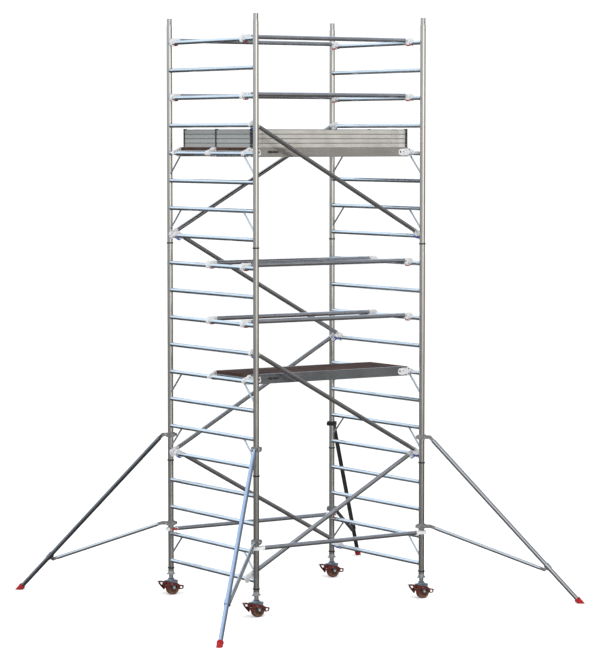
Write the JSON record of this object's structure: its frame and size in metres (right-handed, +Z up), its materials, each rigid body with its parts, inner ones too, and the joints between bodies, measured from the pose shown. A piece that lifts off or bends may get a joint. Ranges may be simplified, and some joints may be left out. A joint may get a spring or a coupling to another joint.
{
  "type": "mobile tower scaffold",
  "caption": "Mobile access tower of stacked aluminium ladder frames on braked castors, with braces, platforms, guardrails, toe boards and outrigger stabilisers.",
  "frame": {"origin": "on the floor under the middle of the tower", "axes": "+X along the bay from the left to the right end frame, +Y across the frames from near to far, +Z up"},
  "size_m": [3.9366, 3.5866, 5.291],
  "materials": {
    "frame_aluminium": "mill-finish extruded tube",
    "spigot_aluminium": "bright turned sleeve",
    "black_spring_steel": "black coated spring steel",
    "brace_aluminium": "bright drawn tube",
    "cast_aluminium": "blasted pale casting",
    "blue_plastic": "moulded trigger",
    "red_plastic": "moulded trigger",
    "beam_aluminium": "grey anodised extrusion",
    "deck_plywood": "phenolic-faced plywood with a non-slip print",
    "black_plastic": "moulded",
    "toe_board_aluminium": "ribbed extrusion",
    "galvanised_steel": "zinc-plated screw",
    "nut_steel": "zinc-plated casting",
    "fork_steel": "blue-grey zinc pressing",
    "wheel_rubber": "solid tyre moulded on its wheel",
    "pedal_red": "dark red powder coat",
    "clamp_aluminium": "grey casting with plated bolts",
    "stabiliser_aluminium": "bright drawn tube",
    "red_rubber": "moulded cap"
  },
  "bodies": {
    "tower": {"end_frame_left_base": "frame_aluminium", "end_frame_left_middle": "frame_aluminium", "end_frame_left_top": "frame_aluminium", "end_frame_right_base": "frame_aluminium", "end_frame_right_middle": "frame_aluminium", "end_frame_right_top": "frame_aluminium", "frame_spigots": "spigot_aluminium", "interlock_clips": "black_spring_steel", "diagonal_braces": "brace_aluminium", "horizontal_braces": "brace_aluminium", "brace_claws": "cast_aluminium", "diagonal_latches": "blue_plastic", "horizontal_latches": "red_plastic", "platform_frames": "beam_aluminium", "platform_hooks": "cast_aluminium", "platform_decks": "deck_plywood", "wind_locks": "black_plastic", "toe_boards": "toe_board_aluminium", "toe_board_clips": "black_plastic"},
    "hatch": {"access_hatch": "deck_plywood"},
    "leg_near_left": {"adjustable_leg_near_left": "galvanised_steel"},
    "nut_near_left": {"adjusting_nut_near_left": "nut_steel"},
    "fork_near_left": {"castor_fork_near_left": "fork_steel"},
    "wheel_near_left": {"castor_wheel_near_left": "wheel_rubber"},
    "pedal_near_left": {"brake_pedal_near_left": "pedal_red"},
    "upper_clamp_near_left": {"stabiliser_upper_clamp_near_left": "clamp_aluminium"},
    "arm_near_left": {"stabiliser_arm_near_left": "stabiliser_aluminium", "stabiliser_foot_near_left": "red_rubber"},
    "strut_near_left": {"stabiliser_strut_near_left": "stabiliser_aluminium"},
    "lower_clamp_near_left": {"stabiliser_lower_clamp_near_left": "clamp_aluminium"},
    "leg_near_right": {"adjustable_leg_near_right": "galvanised_steel"},
    "nut_near_right": {"adjusting_nut_near_right": "nut_steel"},
    "fork_near_right": {"castor_fork_near_right": "fork_steel"},
    "wheel_near_right": {"castor_wheel_near_right": "wheel_rubber"},
    "pedal_near_right": {"brake_pedal_near_right": "pedal_red"},
    "upper_clamp_near_right": {"stabiliser_upper_clamp_near_right": "clamp_aluminium"},
    "arm_near_right": {"stabiliser_arm_near_right": "stabiliser_aluminium", "stabiliser_foot_near_right": "red_rubber"},
    "strut_near_right": {"stabiliser_strut_near_right": "stabiliser_aluminium"},
    "lower_clamp_near_right": {"stabiliser_lower_clamp_near_right": "clamp_aluminium"},
    "leg_far_left": {"adjustable_leg_far_left": "galvanised_steel"},
    "nut_far_left": {"adjusting_nut_far_left": "nut_steel"},
    "fork_far_left": {"castor_fork_far_left": "fork_steel"},
    "wheel_far_left": {"castor_wheel_far_left": "wheel_rubber"},
    "pedal_far_left": {"brake_pedal_far_left": "pedal_red"},
    "upper_clamp_far_left": {"stabiliser_upper_clamp_far_left": "clamp_aluminium"},
    "arm_far_left": {"stabiliser_arm_far_left": "stabiliser_aluminium", "stabiliser_foot_far_left": "red_rubber"},
    "strut_far_left": {"stabiliser_strut_far_left": "stabiliser_aluminium"},
    "lower_clamp_far_left": {"stabiliser_lower_clamp_far_left": "clamp_aluminium"},
    "leg_far_right": {"adjustable_leg_far_right": "galvanised_steel"},
    "nut_far_right": {"adjusting_nut_far_right": "nut_steel"},
    "fork_far_right": {"castor_fork_far_right": "fork_steel"},
    "wheel_far_right": {"castor_wheel_far_right": "wheel_rubber"},
    "pedal_far_right": {"brake_pedal_far_right": "pedal_red"},
    "upper_clamp_far_right": {"stabiliser_upper_clamp_far_right": "clamp_aluminium"},
    "arm_far_right": {"stabiliser_arm_far_right": "stabiliser_aluminium", "stabiliser_foot_far_right": "red_rubber"},
    "strut_far_right": {"stabiliser_strut_far_right": "stabiliser_aluminium"},
    "lower_clamp_far_right": {"stabiliser_lower_clamp_far_right": "clamp_aluminium"}
  },
  "joints": [
    {"name": "hatch_hinge", "type": "hinge", "parent": "tower", "child": "hatch", "pos_m": [-0.455, 0.523, 4.1305], "axis": [-1, 0, 0], "range_deg": [0, 90]},
    {"name": "leg_height_near_left", "type": "slide", "parent": "tower", "child": "leg_near_left", "axis": [0, 0, -1], "range_m": [0, 0.2]},
    {"name": "nut_turn_near_left", "type": "hinge", "parent": "tower", "child": "nut_near_left", "pos_m": [-0.9, -0.725, 0.205], "axis": [0, 0, 1], "range_deg": [0, 6001]},
    {"name": "castor_swivel_near_left", "type": "hinge", "parent": "leg_near_left", "child": "fork_near_left", "pos_m": [-0.9, -0.725, 0.14], "axis": [0, 0, 1], "continuous": true},
    {"name": "wheel_roll_near_left", "type": "hinge", "parent": "fork_near_left", "child": "wheel_near_left", "pos_m": [-0.886, -0.725, 0.0625], "axis": [0, 1, 0], "continuous": true},
    {"name": "brake_press_near_left", "type": "hinge", "parent": "fork_near_left", "child": "pedal_near_left", "pos_m": [-0.912, -0.725, 0.102], "axis": [0, -1, 0], "range_deg": [0, 12]},
    {"name": "stabiliser_swing_near_left", "type": "hinge", "parent": "tower", "child": "upper_clamp_near_left", "pos_m": [-0.9, -0.725, 1.485], "axis": [0, 0, 1], "range_deg": [-40, 40]},
    {"name": "stabiliser_lower_near_left", "type": "hinge", "parent": "upper_clamp_near_left", "child": "arm_near_left", "pos_m": [-0.95303, -0.77803, 1.485], "axis": [0.7071, -0.7071, 0], "range_deg": [-0.2, 2]},
    {"name": "strut_pivot_near_left", "type": "hinge", "parent": "arm_near_left", "child": "strut_near_left", "pos_m": [-1.6987, -1.5237, 0.29694], "axis": [0.7071, -0.7071, 0], "range_deg": [-0.4, 3.86]},
    {"name": "lower_clamp_slide_near_left", "type": "slide", "parent": "upper_clamp_near_left", "child": "lower_clamp_near_left", "axis": [0, 0, 1], "range_m": [-0.00706, 0.06879]},
    {"name": "leg_height_near_right", "type": "slide", "parent": "tower", "child": "leg_near_right", "axis": [0, 0, -1], "range_m": [0, 0.2]},
    {"name": "nut_turn_near_right", "type": "hinge", "parent": "tower", "child": "nut_near_right", "pos_m": [0.9, -0.725, 0.205], "axis": [0, 0, 1], "range_deg": [0, 6001]},
    {"name": "castor_swivel_near_right", "type": "hinge", "parent": "leg_near_right", "child": "fork_near_right", "pos_m": [0.9, -0.725, 0.14], "axis": [0, 0, 1], "continuous": true},
    {"name": "wheel_roll_near_right", "type": "hinge", "parent": "fork_near_right", "child": "wheel_near_right", "pos_m": [0.914, -0.725, 0.0625], "axis": [0, 1, 0], "continuous": true},
    {"name": "brake_press_near_right", "type": "hinge", "parent": "fork_near_right", "child": "pedal_near_right", "pos_m": [0.888, -0.725, 0.102], "axis": [0, -1, 0], "range_deg": [0, 12]},
    {"name": "stabiliser_swing_near_right", "type": "hinge", "parent": "tower", "child": "upper_clamp_near_right", "pos_m": [0.9, -0.725, 1.485], "axis": [0, 0, 1], "range_deg": [-40, 40]},
    {"name": "stabiliser_lower_near_right", "type": "hinge", "parent": "upper_clamp_near_right", "child": "arm_near_right", "pos_m": [0.95303, -0.77803, 1.485], "axis": [0.7071, 0.7071, 0], "range_deg": [-0.2, 2]},
    {"name": "strut_pivot_near_right", "type": "hinge", "parent": "arm_near_right", "child": "strut_near_right", "pos_m": [1.6987, -1.5237, 0.29694], "axis": [0.7071, 0.7071, 0], "range_deg": [-0.4, 3.86]},
    {"name": "lower_clamp_slide_near_right", "type": "slide", "parent": "upper_clamp_near_right", "child": "lower_clamp_near_right", "axis": [0, 0, 1], "range_m": [-0.00706, 0.06879]},
    {"name": "leg_height_far_left", "type": "slide", "parent": "tower", "child": "leg_far_left", "axis": [0, 0, -1], "range_m": [0, 0.2]},
    {"name": "nut_turn_far_left", "type": "hinge", "parent": "tower", "child": "nut_far_left", "pos_m": [-0.9, 0.725, 0.205], "axis": [0, 0, 1], "range_deg": [0, 6001]},
    {"name": "castor_swivel_far_left", "type": "hinge", "parent": "leg_far_left", "child": "fork_far_left", "pos_m": [-0.9, 0.725, 0.14], "axis": [0, 0, 1], "continuous": true},
    {"name": "wheel_roll_far_left", "type": "hinge", "parent": "fork_far_left", "child": "wheel_far_left", "pos_m": [-0.886, 0.725, 0.0625], "axis": [0, 1, 0], "continuous": true},
    {"name": "brake_press_far_left", "type": "hinge", "parent": "fork_far_left", "child": "pedal_far_left", "pos_m": [-0.912, 0.725, 0.102], "axis": [0, -1, 0], "range_deg": [0, 12]},
    {"name": "stabiliser_swing_far_left", "type": "hinge", "parent": "tower", "child": "upper_clamp_far_left", "pos_m": [-0.9, 0.725, 1.485], "axis": [0, 0, 1], "range_deg": [-40, 40]},
    {"name": "stabiliser_lower_far_left", "type": "hinge", "parent": "upper_clamp_far_left", "child": "arm_far_left", "pos_m": [-0.95303, 0.77803, 1.485], "axis": [-0.7071, -0.7071, 0], "range_deg": [-0.2, 2]},
    {"name": "strut_pivot_far_left", "type": "hinge", "parent": "arm_far_left", "child": "strut_far_left", "pos_m": [-1.6987, 1.5237, 0.29694], "axis": [-0.7071, -0.7071, 0], "range_deg": [-0.4, 3.86]},
    {"name": "lower_clamp_slide_far_left", "type": "slide", "parent": "upper_clamp_far_left", "child": "lower_clamp_far_left", "axis": [0, 0, 1], "range_m": [-0.00706, 0.06879]},
    {"name": "leg_height_far_right", "type": "slide", "parent": "tower", "child": "leg_far_right", "axis": [0, 0, -1], "range_m": [0, 0.2]},
    {"name": "nut_turn_far_right", "type": "hinge", "parent": "tower", "child": "nut_far_right", "pos_m": [0.9, 0.725, 0.205], "axis": [0, 0, 1], "range_deg": [0, 6001]},
    {"name": "castor_swivel_far_right", "type": "hinge", "parent": "leg_far_right", "child": "fork_far_right", "pos_m": [0.9, 0.725, 0.14], "axis": [0, 0, 1], "continuous": true},
    {"name": "wheel_roll_far_right", "type": "hinge", "parent": "fork_far_right", "child": "wheel_far_right", "pos_m": [0.914, 0.725, 0.0625], "axis": [0, 1, 0], "continuous": true},
    {"name": "brake_press_far_right", "type": "hinge", "parent": "fork_far_right", "child": "pedal_far_right", "pos_m": [0.888, 0.725, 0.102], "axis": [0, -1, 0], "range_deg": [0, 12]},
    {"name": "stabiliser_swing_far_right", "type": "hinge", "parent": "tower", "child": "upper_clamp_far_right", "pos_m": [0.9, 0.725, 1.485], "axis": [0, 0, 1], "range_deg": [-40, 40]},
    {"name": "stabiliser_lower_far_right", "type": "hinge", "parent": "upper_clamp_far_right", "child": "arm_far_right", "pos_m": [0.95303, 0.77803, 1.485], "axis": [-0.7071, 0.7071, 0], "range_deg": [-0.2, 2]},
    {"name": "strut_pivot_far_right", "type": "hinge", "parent": "arm_far_right", "child": "strut_far_right", "pos_m": [1.6987, 1.5237, 0.29694], "axis": [-0.7071, 0.7071, 0], "range_deg": [-0.4, 3.86]},
    {"name": "lower_clamp_slide_far_right", "type": "slide", "parent": "upper_clamp_far_right", "child": "lower_clamp_far_right", "axis": [0, 0, 1], "range_m": [-0.00706, 0.06879]}
  ],
  "couplings": [
    {"joint": "nut_turn_near_left", "follows": "leg_height_near_left", "rad_per_m": 523.6},
    {"joint": "strut_pivot_near_left", "follows": "stabiliser_lower_near_left", "ratio": 1.92},
    {"joint": "lower_clamp_slide_near_left", "follows": "stabiliser_lower_near_left", "m_per_rad": 1.965},
    {"joint": "nut_turn_near_right", "follows": "leg_height_near_right", "rad_per_m": 523.6},
    {"joint": "strut_pivot_near_right", "follows": "stabiliser_lower_near_right", "ratio": 1.92},
    {"joint": "lower_clamp_slide_near_right", "follows": "stabiliser_lower_near_right", "m_per_rad": 1.965},
    {"joint": "nut_turn_far_left", "follows": "leg_height_far_left", "rad_per_m": 523.6},
    {"joint": "strut_pivot_far_left", "follows": "stabiliser_lower_far_left", "ratio": 1.92},
    {"joint": "lower_clamp_slide_far_left", "follows": "stabiliser_lower_far_left", "m_per_rad": 1.965},
    {"joint": "nut_turn_far_right", "follows": "leg_height_far_right", "rad_per_m": 523.6},
    {"joint": "strut_pivot_far_right", "follows": "stabiliser_lower_far_right", "ratio": 1.92},
    {"joint": "lower_clamp_slide_far_right", "follows": "stabiliser_lower_far_right", "m_per_rad": 1.965}
  ]
}
